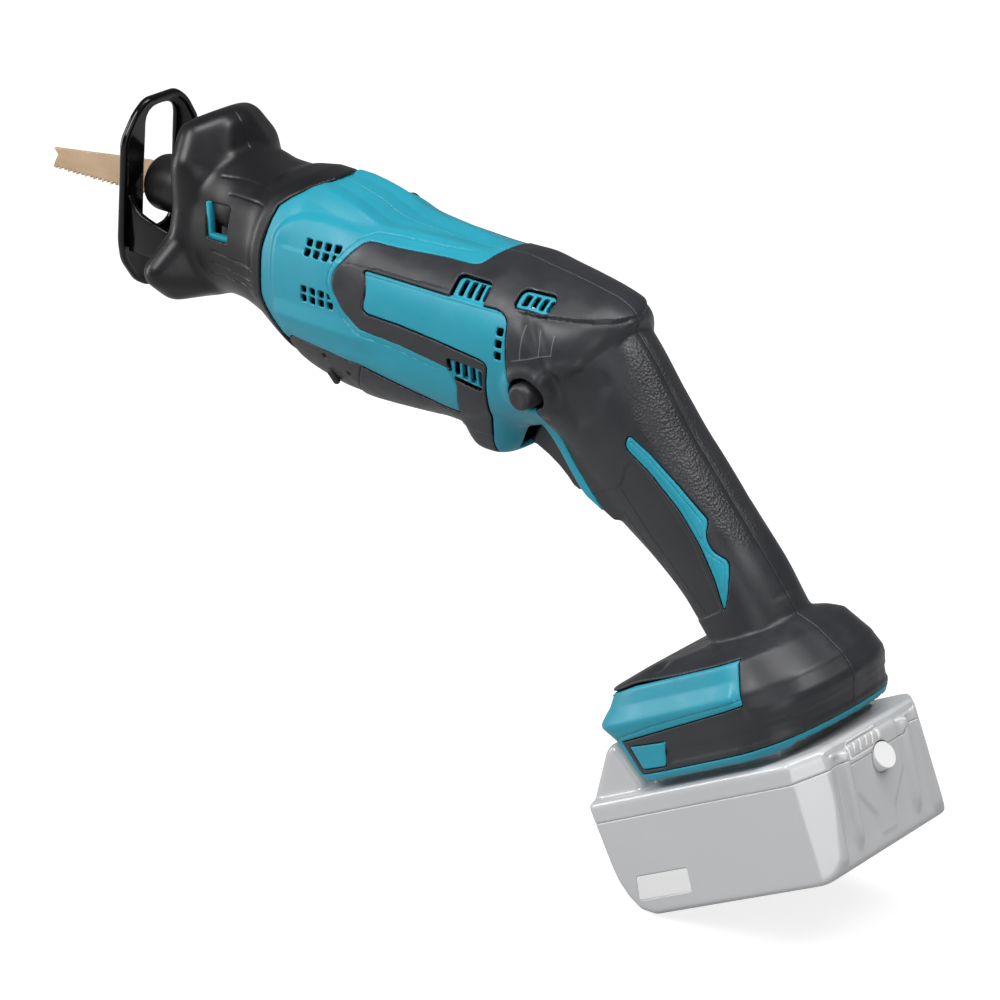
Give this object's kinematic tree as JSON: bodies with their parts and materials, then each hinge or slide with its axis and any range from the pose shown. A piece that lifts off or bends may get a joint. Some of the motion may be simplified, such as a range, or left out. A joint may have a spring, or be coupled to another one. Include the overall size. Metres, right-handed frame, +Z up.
{
  "type": "cordless reciprocating saw",
  "caption": "Cordless reciprocating saw with a sliding shoe, tool-less blade clamp, rubber front boot and handle skin, trigger, lock button, stored hex key and a slide-on battery pack",
  "frame": {"origin": "on the middle plane of the tool, on the blade's line, just behind the blade clamp's front and at the mouth of the rubber boot", "axes": "+X runs back along the blade's line to the motor, +Y is the tool's right side seen from behind, +Z is up with the handle below the barrel"},
  "size_m": [0.4247, 0.0784, 0.2547],
  "materials": {
    "teal": "moulded glass-filled nylon in teal, fine satin grain",
    "rubber": "soft overmoulded elastomer, matt dark grey",
    "case_metal": "die-cast aluminium, as cast",
    "bronze": "plain sintered bronze and plated contact metal",
    "felt": "oiled felt ring",
    "steel": "turned and ground steel",
    "magnet": "ferrite arcs, dark grey",
    "black_plastic": "moulded black plastic, matt",
    "carbon": "carbon brush",
    "black_metal": "glossy black paint over steel",
    "blade_metal": "tan lacquer over saw steel",
    "copper": "copper winding and bars",
    "pack_plastic": "moulded light grey plastic, fine grain",
    "cell_wrap": "cell in a shrink wrap; its density is that of a real cell",
    "white_plastic": "translucent white plastic"
  },
  "bodies": {
    "housing": {"housing_left": "teal", "housing_right": "teal", "grip_left": "rubber", "grip_right": "rubber", "front_boot": "rubber", "gear_case": "case_metal", "gear_cover": "case_metal", "front_bush": "bronze", "rear_bush": "bronze", "dust_seal": "felt", "gear_bearing_low": "steel", "gear_bearing_top": "steel", "motor_can": "steel", "motor_magnets": "magnet", "brush_holder": "black_plastic", "brush_left": "carbon", "brush_right": "carbon", "motor_bearing_front": "steel", "motor_bearing_rear": "steel", "switch_unit": "black_plastic", "terminal_block": "black_plastic", "stripe_left": "teal", "stripe_right": "teal", "key_holder": "black_plastic", "housing_screws": "steel"},
    "shoe": {"shoe_plate": "black_metal", "shoe_bracket": "black_metal", "shoe_bolts": "steel"},
    "plunger": {"plunger": "steel", "blade_holder": "steel", "clamp_pin": "steel", "clamp_spring": "steel", "blade": "blade_metal"},
    "sleeve": {"clamp_sleeve": "black_metal"},
    "gear": {"crank_gear": "steel", "gear_shaft": "steel"},
    "rotor": {"motor_shaft": "steel", "armature": "copper", "commutator": "copper", "fan": "black_plastic", "pinion": "steel"},
    "trigger": {"trigger": "black_plastic"},
    "lock_button": {"lock_button": "black_plastic"},
    "hex_key": {"hex_key": "steel"},
    "battery": {"pack_upper": "pack_plastic", "pack_lower": "pack_plastic", "pack_cells": "cell_wrap", "cell_frame": "black_plastic", "pack_terminals": "bronze", "pack_gauge": "white_plastic", "pack_screws": "steel"},
    "pack_latch": {"pack_latch": "pack_plastic"},
    "check_button": {"check_button": "white_plastic"}
  },
  "joints": [
    {"name": "shoe_slide", "type": "slide", "parent": "housing", "child": "shoe", "axis": [-1, 0, 0], "range_m": [0, 0.02]},
    {"name": "plunger_slide", "type": "slide", "parent": "housing", "child": "plunger", "axis": [1, 0, 0], "range_m": [0, 0.013]},
    {"name": "sleeve_turn", "type": "hinge", "parent": "plunger", "child": "sleeve", "pos_m": [-0.005, 0, 0.003], "axis": [1, 0, 0], "range_deg": [0, 60], "stiffness_Nm_per_rad": 0.05},
    {"name": "rotor_spin", "type": "hinge", "parent": "housing", "child": "rotor", "pos_m": [0.125, 0, -0.02], "axis": [1, 0, 0], "continuous": true},
    {"name": "gear_spin", "type": "hinge", "parent": "housing", "child": "gear", "pos_m": [0.074, 0, -0.02], "axis": [0, 0, 1], "continuous": true},
    {"name": "trigger_pull", "type": "slide", "parent": "housing", "child": "trigger", "axis": [0.4612, 0, 0.8873], "range_m": [0, 0.006], "stiffness_N_per_m": 250, "springref_m": -0.002},
    {"name": "lock_push", "type": "slide", "parent": "housing", "child": "lock_button", "axis": [0, 1, 0], "range_m": [-0.003, 0.003], "stiffness_N_per_m": 150},
    {"name": "hex_key_draw", "type": "slide", "parent": "housing", "child": "hex_key", "axis": [-1, 0, 0], "range_m": [0, 0.03]},
    {"name": "battery_slide", "type": "slide", "parent": "housing", "child": "battery", "axis": [-0.891, 0, -0.454], "range_m": [0, 0.075]},
    {"name": "latch_press", "type": "slide", "parent": "battery", "child": "pack_latch", "axis": [0.454, 0, -0.891], "range_m": [0, 0.004], "stiffness_N_per_m": 200, "springref_m": -0.001},
    {"name": "check_press", "type": "slide", "parent": "battery", "child": "check_button", "axis": [-0.7771, 0, -0.6293], "range_m": [0, 0.001], "stiffness_N_per_m": 40}
  ],
  "couplings": [
    {"joint": "gear_spin", "follows": "rotor_spin", "ratio": -0.2}
  ]
}
